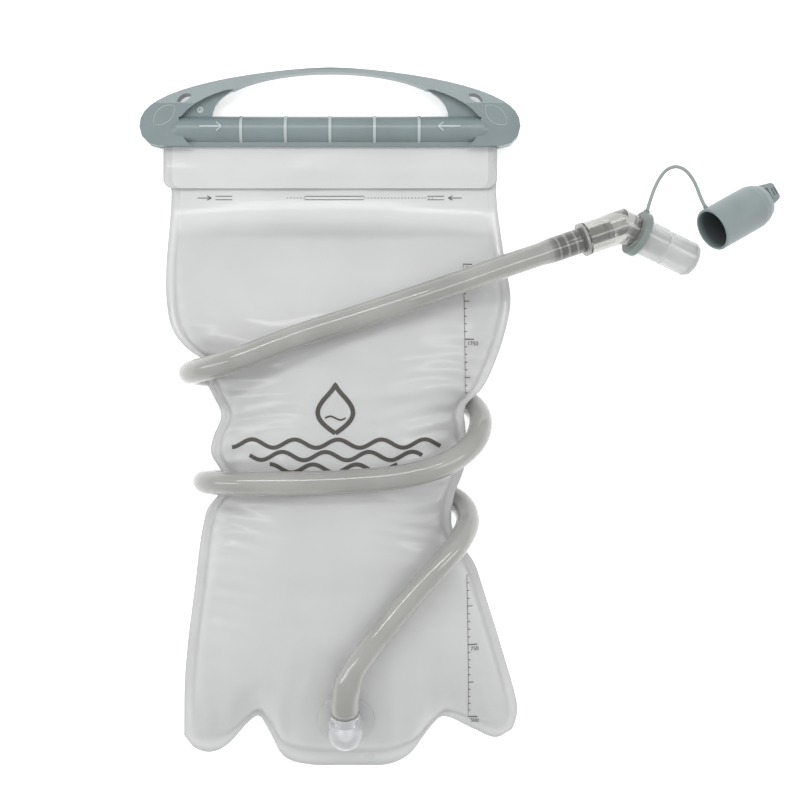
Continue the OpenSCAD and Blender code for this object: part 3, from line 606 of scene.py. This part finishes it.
# Milky polyurethane film: translucent and satin, clouded by the water behind it. Above the water line,
# where the two films touch, it is clearer, and the folded flap is a little denser.
WATER_TOP_Y = 93.0
ZONE_L = 40.0
HAZE_MM = 1.11


def film_material(name, water, dry, flap, alpha, roughness, cloud_mm):
    material, tree = new_material(name)
    where = add(tree, "ShaderNodeTexCoord")
    cloud = add(tree, "ShaderNodeTexNoise", {"Scale": cells(cloud_mm), "Detail": 2.0, "Roughness": 0.45},
                {"Vector": where.outputs["Object"]})
    height = add(tree, "ShaderNodeSeparateXYZ", links={"Vector": where.outputs["Object"]})
    zone = add(tree, "ShaderNodeMapRange",
               {"From Min": (WATER_TOP_Y - ZONE_L / 4) * MM,
                "From Max": (WATER_TOP_Y + 3 * ZONE_L / 4) * MM},
               {"Value": height.outputs["Y"]})
    base = ramp(tree, zone.outputs["Result"], (0.18, water), (0.27, dry), (0.52, dry), (0.55, flap))
    mottle = ramp(tree, cloud.outputs["Fac"], (0.3, "#F6F6F6"), (0.7, "#FFFFFF"))
    clouded = add(tree, "ShaderNodeMix", {0: 1.0}, {6: base, 7: mottle}, data_type="RGBA",
                  blend_type="MULTIPLY")
    haze = add(tree, "ShaderNodeTexNoise", {"Scale": cells(HAZE_MM), "Detail": 2.0},
               {"Vector": where.outputs["Object"]})
    bump = add(tree, "ShaderNodeBump", {"Strength": 0.15, "Distance": 0.05 * MM},
               {"Height": haze.outputs["Fac"]})
    rough = add(tree, "ShaderNodeMapRange", {"To Min": roughness - 0.05, "To Max": roughness + 0.08},
                {"Value": cloud.outputs["Fac"]})
    skin = add(tree, "ShaderNodeBsdfPrincipled",
               {"IOR": 1.5, "Alpha": alpha, "Coat Weight": 0.4, "Coat Roughness": 0.1,
                "Subsurface Weight": 0.25, "Subsurface Radius": (6 * MM, 6 * MM, 6 * MM),
                "Subsurface Scale": 1.0},
               {"Base Color": clouded.outputs[2], "Roughness": rough.outputs["Result"],
                "Normal": bump.outputs["Normal"]})
    add(tree, "ShaderNodeOutputMaterial", links={"Surface": skin.outputs["BSDF"]})
    return material


film_over_water = film_material("milky_polyurethane_film", "#CFD0D0", "#DCDDDD", "#D8D9D9", 0.94, 0.36, 45)
film_weld = film_material("welded_polyurethane_edge", "#DEDFDF", "#E2E3E3", "#DCDDDD", 0.75, 0.28, 20)


def dress_film(film, welds):
    """The milky film, with the clearer, glossier look of its welded edges."""
    film.data.materials.append(film_over_water)
    film.data.materials.append(film_weld)
    for f in welds:
        film.data.polygons[f].material_index = 1


dress_film(front, front_welds)
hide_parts("front_film")

# ---- Back film -------------------------------------------------------------------------------------
# The same film without print, welded to the front one along the edges. It lies flat on the table,
# and is lifted at the waist by the two turns of hose that pass under it.
back, _, back_welds, _ = film_mesh("back_film_skin", -1)
dress_film(back, back_welds)
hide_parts("back_film")

# ---- Print -----------------------------------------------------------------------------------------
# Dark grey solvent ink, screen printed on the front film: a fill line between two arrows, the volume
# scale along the right edge, and a drop above waves.
flat_points = [v for row in front_grid for v in row]
film_tree = BVHTree.FromPolygons(flat_points, [f for f in front_faces if max(f) < len(flat_points)])
INK_LIFT = 0.16


def on_film(x, y):
    """The point of the front film's outer face above that place."""
    hit = film_tree.ray_cast(Vector((x, y, 100)), Vector((0, 0, -1)))[0]
    return Vector((x, y, (hit.z if hit else SEAL_Z) + INK_LIFT))


ink_points, ink_faces = [], []


def ink_strip(points, width, step=1.5):
    """A printed line of that width through flat points, laid on the film."""
    dense = [Vector(points[0])]
    for a, b in zip(points, points[1:]):
        a, b = Vector(a), Vector(b)
        n = max(1, math.ceil((b - a).length / step))
        dense += [a + (b - a) * k / n for k in range(1, n + 1)]
    start = len(ink_points)
    for i, p in enumerate(dense):
        ahead = (dense[min(i + 1, len(dense) - 1)] - dense[max(i - 1, 0)]).normalized()
        half = Vector((-ahead.y, ahead.x)) * width / 2
        for q in (p + half, p, p - half):
            ink_points.append(on_film(q.x, q.y))
    for i in range(len(dense) - 1):
        k = start + 3 * i
        ink_faces.append((k + 1, k + 4, k + 3, k))
        ink_faces.append((k + 2, k + 5, k + 4, k + 1))


def ink_patch(rows):
    """A printed patch: rows of (x, y) pairs with the same count, laid on the film."""
    start, n = len(ink_points), len(rows[0])
    for row in rows:
        for x, y in row:
            ink_points.append(on_film(x, y))
    for j in range(len(rows) - 1):
        for i in range(n - 1):
            k = start + j * n + i
            ink_faces.append((k, k + 1, k + n + 1, k + n))


FINE = 0.35
FILL_Y = 109.6
MIDDLE_BARS = (-13.0, 17.0)
DASH_FROM = -22.0
DASH_PITCH = 1.7
DASH_L = 0.7
for k in range(44):
    x = DASH_FROM + DASH_PITCH * k
    if not MIDDLE_BARS[0] < x < MIDDLE_BARS[1]:
        ink_strip([(x, FILL_Y), (x + DASH_L, FILL_Y)], FINE)
HEAD_L = 2.2
for tip, tail in ((-60.0, -67.0), (59.5, 66.5)):
    head_x = tip - math.copysign(HEAD_L, tip - tail)
    ink_strip([(tail, FILL_Y), (tip, FILL_Y)], 0.4)
    ink_strip([(head_x, FILL_Y + HEAD_L / 2), (tip, FILL_Y), (head_x, FILL_Y - HEAD_L / 2)], 0.45)
BAR_GAP = 0.9
for a, b in ((-58.0, -49.5), (49.0, 57.5), MIDDLE_BARS):
    ink_strip([(a, FILL_Y - BAR_GAP), (b, FILL_Y - BAR_GAP)], FINE)
    ink_strip([(a, FILL_Y + BAR_GAP), (b, FILL_Y + BAR_GAP)], FINE)

SCALE_X = 66.5
SCALE_TOP = 75.0
SCALE_LEAN = 0.012
MAJOR = 37.6
MINOR = MAJOR / 10
LONG_TICK = 4.6
HALF_TICK = 2.6
SHORT_TICK = 1.1
EDGE_ROOM = 6.0


def scale_x(y):
    """The scale leans out a little below the waist, as the film does."""
    return SCALE_X + SCALE_LEAN * (SCALE_TOP - y)


def on_print(x, y):
    """Whether the film reaches past that place, so that it can carry print."""
    return film_tree.ray_cast(Vector((x + EDGE_ROOM, y, 100)), Vector((0, 0, -1)))[0] is not None


for k in range(61):
    y = SCALE_TOP - k * MINOR
    x = scale_x(y)
    if not on_print(x, y):
        continue
    if k < 60 and on_print(x, y - MINOR):
        ink_strip([(x, y), (scale_x(y - MINOR), y - MINOR)], 0.22)
    tick = LONG_TICK if k % 10 == 0 else HALF_TICK if k % 5 == 0 else SHORT_TICK
    ink_strip([(x, y), (x + tick, y)], 0.5 if k % 10 == 0 else 0.4)

DROP_X = 4.0
DROP_Y = 0.5
DROP_R = 9.0
DROP_LINE = 2.2
WAVE_LINE = 2.0
WAVE_L = 21.0


def drop_outline(t):
    """Half-width and height of a falling drop at t from its foot, 0, to its tip, 1."""
    return 1.25 * DROP_R * math.sin(math.pi * t) * (1 - t) ** 0.45, DROP_R * (2.625 * t - 1)


drop_side = [drop_outline(k / 24) for k in range(25)]
right_side = [(DROP_X + w, DROP_Y + h) for w, h in drop_side]
left_side = [(DROP_X - w, DROP_Y + h) for w, h in reversed(drop_side[:-1])]
ink_strip(right_side + left_side, DROP_LINE, 1.0)
glint = [(DROP_X - 5 + 10 * i / 8, DROP_Y - 1.2 + 0.9 * math.sin(i * math.pi / 4)) for i in range(9)]
ink_patch([glint, [(x, y - 0.9) for x, y in glint]])
for n, (y, left, right) in enumerate(((-13.5, -47.0, 55.0), (-19.5, -38.0, 46.0), (-25.5, -28.0, 34.0))):
    xs = [left + (right - left) * k / 80 for k in range(81)]
    ink_strip([(x, y + 2.0 * math.sin((x + 6 * n) * 2 * math.pi / WAVE_L)) for x in xs], WAVE_LINE)


def ink_number(text, x, y, size):
    """Numbers of the scale, set in the plain built-in face and laid on the film."""
    face = bpy.data.curves.new("number", "FONT")
    face.body = text
    face.size = size
    carrier = bpy.data.objects.new("number", face)
    bpy.context.scene.collection.objects.link(carrier)
    bpy.context.view_layer.update()
    flat = carrier.evaluated_get(bpy.context.evaluated_depsgraph_get()).to_mesh()
    start = len(ink_points)
    ink_points.extend(on_film(x + v.co.x, y + v.co.y) for v in flat.vertices)
    ink_faces.extend(tuple(start + i for i in p.vertices) for p in flat.polygons)
    bpy.data.objects.remove(carrier)
    bpy.data.curves.remove(face)


for k, volume in enumerate((2000, 1750, 1500, 1250, 1000, 750, 500)):
    y = SCALE_TOP - k * MAJOR
    if on_print(scale_x(y), y):
        ink_number(str(volume), scale_x(y) + 1.2, y - 3.0, 2.8)

printed = make_piece("screen_print", ink_points, ink_faces, "bag", smooth=False)


# Solvent ink, screen printed: matt charcoal, thin enough to be a little uneven.
def ink_material():
    material, tree = new_material("screen_print_ink")
    where = add(tree, "ShaderNodeTexCoord")
    wear = add(tree, "ShaderNodeTexNoise", {"Scale": cells(2), "Detail": 3.0},
               {"Vector": where.outputs["Object"]})
    tone = ramp(tree, wear.outputs["Fac"], (0.0, "#3B3936"), (1.0, "#4E4B48"))
    skin = add(tree, "ShaderNodeBsdfPrincipled", {"Roughness": 0.55}, {"Base Color": tone})
    add(tree, "ShaderNodeOutputMaterial", links={"Surface": skin.outputs["BSDF"]})
    return material


printed.data.materials.append(ink_material())

# ---- Slide seal and its rail -------------------------------------------------------------------------
# Satin sage-grey moulding in one piece: the ribbed channel that grips the folded mouth round its rail,
# and the bowed carrying handle.
def dress(name, material):
    """Give a carried-over piece its material."""
    for slot in nodes[name].material_slots:
        slot.material = material


RIB_PITCH = 22.4
RIB_W = 1.5
RIB_SPAN = 60.0
HALF_DEPTH = 6.0
GROOVE_DEPTH = 0.4
OVAL_TOP = 12.9
OVAL_FROM = 72.0
EDGE = 0.05


def within(tree, value, low, high):
    """1 where the value lies between low and high."""
    above = add(tree, "ShaderNodeMath", {1: low}, {0: value}, operation="GREATER_THAN").outputs["Value"]
    below = add(tree, "ShaderNodeMath", {1: high}, {0: value}, operation="LESS_THAN").outputs["Value"]
    return add(tree, "ShaderNodeMath", links={0: above, 1: below}, operation="MULTIPLY").outputs["Value"]


def rubbed_places(tree, position):
    """1 where highlights are painted: on the crests of the grip ribs and in the grooves of the thumb ovals.
    """
    from_axis = add(tree, "ShaderNodeVectorMath", {1: (0, CHANNEL_Y * MM, SEAL_Z * MM)}, {0: position},
                    operation="SUBTRACT")
    radial = add(tree, "ShaderNodeVectorMath", {1: (0, 1, 1)}, {0: from_axis.outputs["Vector"]},
                 operation="MULTIPLY")
    radius = add(tree, "ShaderNodeVectorMath", links={0: radial.outputs["Vector"]}, operation="LENGTH")
    place = add(tree, "ShaderNodeSeparateXYZ", links={"Vector": from_axis.outputs["Vector"]})
    shape = add(tree, "ShaderNodeTexCoord")
    facing = add(tree, "ShaderNodeSeparateXYZ", links={"Vector": shape.outputs["Normal"]})
    side = add(tree, "ShaderNodeMath", links={0: place.outputs["X"]}, operation="ABSOLUTE").outputs["Value"]
    off_rib = add(tree, "ShaderNodeMath", {1: RIB_PITCH / 2 * MM}, {0: side}, operation="PINGPONG")
    groove = (HALF_DEPTH - 1.5 * GROOVE_DEPTH, HALF_DEPTH - GROOVE_DEPTH / 2)
    rules = (
        [(radius.outputs["Value"], (TUBE_R + RIB_H / 2) * MM, (TUBE_R + RIB_H + EDGE) * MM),
         (side, -1.0, RIB_SPAN * MM), (off_rib.outputs["Value"], -1.0, (RIB_W / 2 + EDGE) * MM)],
        [(place.outputs["Z"], groove[0] * MM, groove[1] * MM), (facing.outputs["Z"], 0.9, 2.0),
         (side, OVAL_FROM * MM, 1.0), (place.outputs["Y"], -1.0, OVAL_TOP * MM)],
    )
    marks = []
    for parts in rules:
        out = within(tree, *parts[0])
        for part in parts[1:]:
            both = add(tree, "ShaderNodeMath", links={0: out, 1: within(tree, *part)}, operation="MULTIPLY")
            out = both.outputs["Value"]
        marks.append(out)
    either = add(tree, "ShaderNodeMath", links={0: marks[0], 1: marks[1]}, operation="MAXIMUM")
    return either.outputs["Value"]


# Polypropylene, injection moulded in a spark-eroded tool: a satin grain, with painted highlights on ribs
# and ovals.
sage = moulded("sage_polypropylene", "#727F80", "#7A8788", 0.34, 0.6, 0.06, coat=0.25,
               mask=rubbed_places, masked="#A9B4B5")
dress("slide_seal", sage)

# Raised marks of the same moulding: an arrow at each end of the channel, which shows the way the seal
# slides, and a rim round the tether hole in the left web.
MARK_H = 0.45
SUNK = -0.2
ARROW_AT = 60.0
ARROW_L = 11.0
ARROW_W = 1.0
ARROW_UP = 1.2
ARROWHEAD_L = 2.6
ARROWHEAD_UP = 2.2
mark_points, mark_faces = [], []


def raised_bar(a, b, width):
    """A bar with sloping sides on the round channel, from a to b as (x, distance round it)."""
    a, b = Vector(a), Vector(b)
    n = max(2, math.ceil((b - a).length / 0.8))
    ahead = (b - a).normalized()
    across = Vector((-ahead.y, ahead.x))
    start = len(mark_points)
    for k in range(n + 1):
        middle = a + (b - a) * k / n
        for share, height in ((-0.5, SUNK), (-0.3, MARK_H), (0.3, MARK_H), (0.5, SUNK)):
            x, s = middle + across * width * share
            angle = s / TUBE_R
            r = TUBE_R + height
            mark_points.append(Vector((x, CHANNEL_Y + r * math.sin(angle), SEAL_Z + r * math.cos(angle))))
    for k in range(n):
        for i in range(4):
            p, q = start + 4 * k + i, start + 4 * k + (i + 1) % 4
            mark_faces.append((p, p + 4, q + 4, q))
    mark_faces.append((start, start + 1, start + 2, start + 3))
    end = start + 4 * n
    mark_faces.append((end + 3, end + 2, end + 1, end))


for side, way in ((-1, 1), (1, -1)):
    tip = side * ARROW_AT + way * ARROW_L / 2
    raised_bar((tip - way * ARROW_L, ARROW_UP), (tip, ARROW_UP), ARROW_W)
    for turn in (-1, 1):
        raised_bar((tip - way * ARROWHEAD_L, ARROW_UP + turn * ARROWHEAD_UP), (tip, ARROW_UP), ARROW_W)

HOLE_X = -65.6
HOLE_Y = CHANNEL_Y + 10.0
HOLE_R = 0.8
WEB_T = 3.0
RIM_SIDES = 32
RIM = [(HOLE_R, SUNK), (HOLE_R, 0.45), (HOLE_R + 0.3, 0.6), (HOLE_R + 0.8, 0.5), (HOLE_R + 1.1, SUNK)]
rim_start = len(mark_points)
for c, w in circle(1, RIM_SIDES):
    mark_points += [Vector((HOLE_X + r * c, HOLE_Y + r * w, SEAL_Z + WEB_T / 2 + h)) for r, h in RIM]
for k in range(RIM_SIDES):
    for i in range(len(RIM)):
        j = (i + 1) % len(RIM)
        p, q = rim_start + k * len(RIM), rim_start + (k + 1) % RIM_SIDES * len(RIM)
        mark_faces.append((p + i, p + j, q + j, q + i))
marks = make_piece("raised_marks", mark_points, mark_faces, "seal", smooth=False)
# The same polypropylene with a painted highlight: lighter in colour, and a little glossier.
highlit_moulding = moulded("polypropylene_painted_highlight", "#A3AEAE", "#B0BABA", 0.3, 0.6, 0.06, coat=0.25)
marks.data.materials.append(highlit_moulding)

# Extruded polypropylene rod, uncoloured: plain satin white, seen only at the ends of the channel.
dress("seal_rail", moulded("white_rod", "#DADCDA", "#E4E6E4", 0.4))

# ---- Port --------------------------------------------------------------------------------------------
# A moulded polyurethane flange, welded on the film round the outlet, and the clear right-angle spout that
# plugs into it over an O-ring and turns the hose away from the bag.

# Uncoloured polyurethane, moulded: as milky as the film that it is welded to.
dress("port_base", moulded("natural_polyurethane_flange", "#D0D2D2", "#D9DADA", 0.3, coat=0.3,
                           transmission=0.3))
# Clear polycarbonate, moulded and polished: bright edges, with a faint haze from the tool.
dress("port_elbow", moulded("clear_spout", "#DFE1E2", "#E8E9EA", 0.2, coat=0.4, transmission=0.5))
# Nitrile rubber, pressed: near black and dull.
rubber = moulded("nitrile_ring", "#232324", "#2E2E2F", 0.45, 0.3)
dress("port_o_ring", rubber)

# ---- Mouthpiece ----------------------------------------------------------------------------------------
# A barbed spigot in the hose's end, a clear elbow that turns on it over an O-ring, and a soft bite valve
# pushed on the elbow's nipple. The dust cap that closes it hangs on a ring that turns on the elbow's neck.

# Smoky polycarbonate, moulded: the plate and barbs read as grey through the clear parts round them.
dress("hose_spigot", moulded("smoky_spigot", "#B9BAB7", "#C6C7C4", 0.2, coat=0.3, transmission=0.5))
dress("spigot_o_ring", rubber)
# Smoky clear polycarbonate, moulded in a polished tool: glossy, with its inner bore in sight.
dress("valve_elbow", moulded("smoky_clear_elbow", "#BDBDB8", "#CACAC5", 0.12, depth_mm=0.01, coat=0.5,
                             transmission=0.85))
# Frosted liquid silicone, moulded: milky, with a soft highlight down its side.
dress("bite_valve", moulded("frosted_silicone", "#DADCDB", "#E6E8E7", 0.22, depth_mm=0.02, coat=0.5,
                            transmission=0.6))
# The strap's elastomer, moulded thicker: matt, and darker than the strap.
dress("cap_ring", moulded("sage_ring", "#6E7877", "#79837F", 0.42))
CAP_WALL = 1.2
CAP_DEPTH = 32.0
LIP_FADE = (0.5, 4.0)


def cap_inside(tree, position):
    """1 on the cap's inner wall, where shade is painted, fading in behind its lip."""
    from_mouth = add(tree, "ShaderNodeVectorMath", {1: tuple(CAP_AT * MM)}, {0: position},
                     operation="SUBTRACT")
    away = add(tree, "ShaderNodeVectorMath", {1: tuple(CAP_AXES[2])}, {0: from_mouth.outputs["Vector"]},
               operation="CROSS_PRODUCT")
    radius = add(tree, "ShaderNodeVectorMath", links={0: away.outputs["Vector"]}, operation="LENGTH")
    depth = add(tree, "ShaderNodeVectorMath", {1: tuple(CAP_AXES[2])}, {0: from_mouth.outputs["Vector"]},
                operation="DOT_PRODUCT")
    in_wall = add(tree, "ShaderNodeMath", {1: (CAP_R - CAP_WALL + 0.2) * MM}, {0: radius.outputs["Value"]},
                  operation="LESS_THAN")
    past_lip = add(tree, "ShaderNodeMapRange", {"From Min": LIP_FADE[0] * MM, "From Max": LIP_FADE[1] * MM},
                   {"Value": depth.outputs["Value"]})
    short_of_end = add(tree, "ShaderNodeMath", {1: CAP_DEPTH * MM}, {0: depth.outputs["Value"]},
                       operation="LESS_THAN")
    hollow = add(tree, "ShaderNodeMath",
                 links={0: in_wall.outputs["Value"], 1: short_of_end.outputs["Value"]},
                 operation="MULTIPLY")
    shade = add(tree, "ShaderNodeMath", links={0: hollow.outputs["Value"], 1: past_lip.outputs["Result"]},
                operation="MULTIPLY")
    return shade.outputs["Value"]


# Elastomer, moulded: satin outside, where pockets and hands polish it, and dark inside, where shade is
# painted on its inner wall.
dress("dust_cap", moulded("sage_cap", "#7A8585", "#848F8F", 0.4, mask=cap_inside, masked="#4E5655"))

# ---- Table and light -----------------------------------------------------------------------------------
# A plain pale table top just under the bag, painted dead matt, and large soft lamps in a white room, as
# for a catalogue picture.
TABLE_SIZE = 6.0
TABLE_DROP = 0.6
bpy.ops.mesh.primitive_plane_add(size=TABLE_SIZE, location=(0, 0, -TABLE_DROP * MM))
table = bpy.context.object
table.name = "table_top"
pale, tree = new_material("pale_table")
where = add(tree, "ShaderNodeTexCoord")
mottle = add(tree, "ShaderNodeTexNoise", {"Scale": cells(25)}, {"Vector": where.outputs["Object"]})
tone = ramp(tree, mottle.outputs["Fac"], (0.0, "#F6F6F6"), (1.0, "#F8F8F8"))
skin = add(tree, "ShaderNodeBsdfPrincipled",
           {"Roughness": 0.9, "Specular IOR Level": 0.1, "Emission Color": linear("#FFFFFF"),
            "Emission Strength": 0.4},
           {"Base Color": tone})
add(tree, "ShaderNodeOutputMaterial", links={"Surface": skin.outputs["BSDF"]})
table.data.materials.append(pale)


def lamp(name, place, target, size, power):
    light = bpy.data.lights.new(name, "AREA")
    light.shape = "RECTANGLE"
    light.size, light.size_y = size
    light.energy = power
    item = bpy.data.objects.new(name, light)
    item.location = place
    item.rotation_euler = (Vector(target) - Vector(place)).to_track_quat("-Z", "Y").to_euler()
    bpy.context.scene.collection.objects.link(item)


lamp("key", (-0.1, 0.75, 1.3), (0, 0.02, 0), (1.5, 0.16), 6)
lamp("fill", (1.1, 0.2, 1.2), (0, 0, 0), (0.3, 1.0), 3)
lamp("edge", (-1.1, 0.0, 0.9), (0, 0, 0), (0.2, 1.2), 3)

world = bpy.data.worlds.new("studio")
bpy.context.scene.world = world
world.use_nodes = True
room = world.node_tree.nodes["Background"]
room.inputs["Color"].default_value = linear("#FFFFFF")
room.inputs["Strength"].default_value = 0.86
bpy.context.scene.view_settings.view_transform = "Standard"
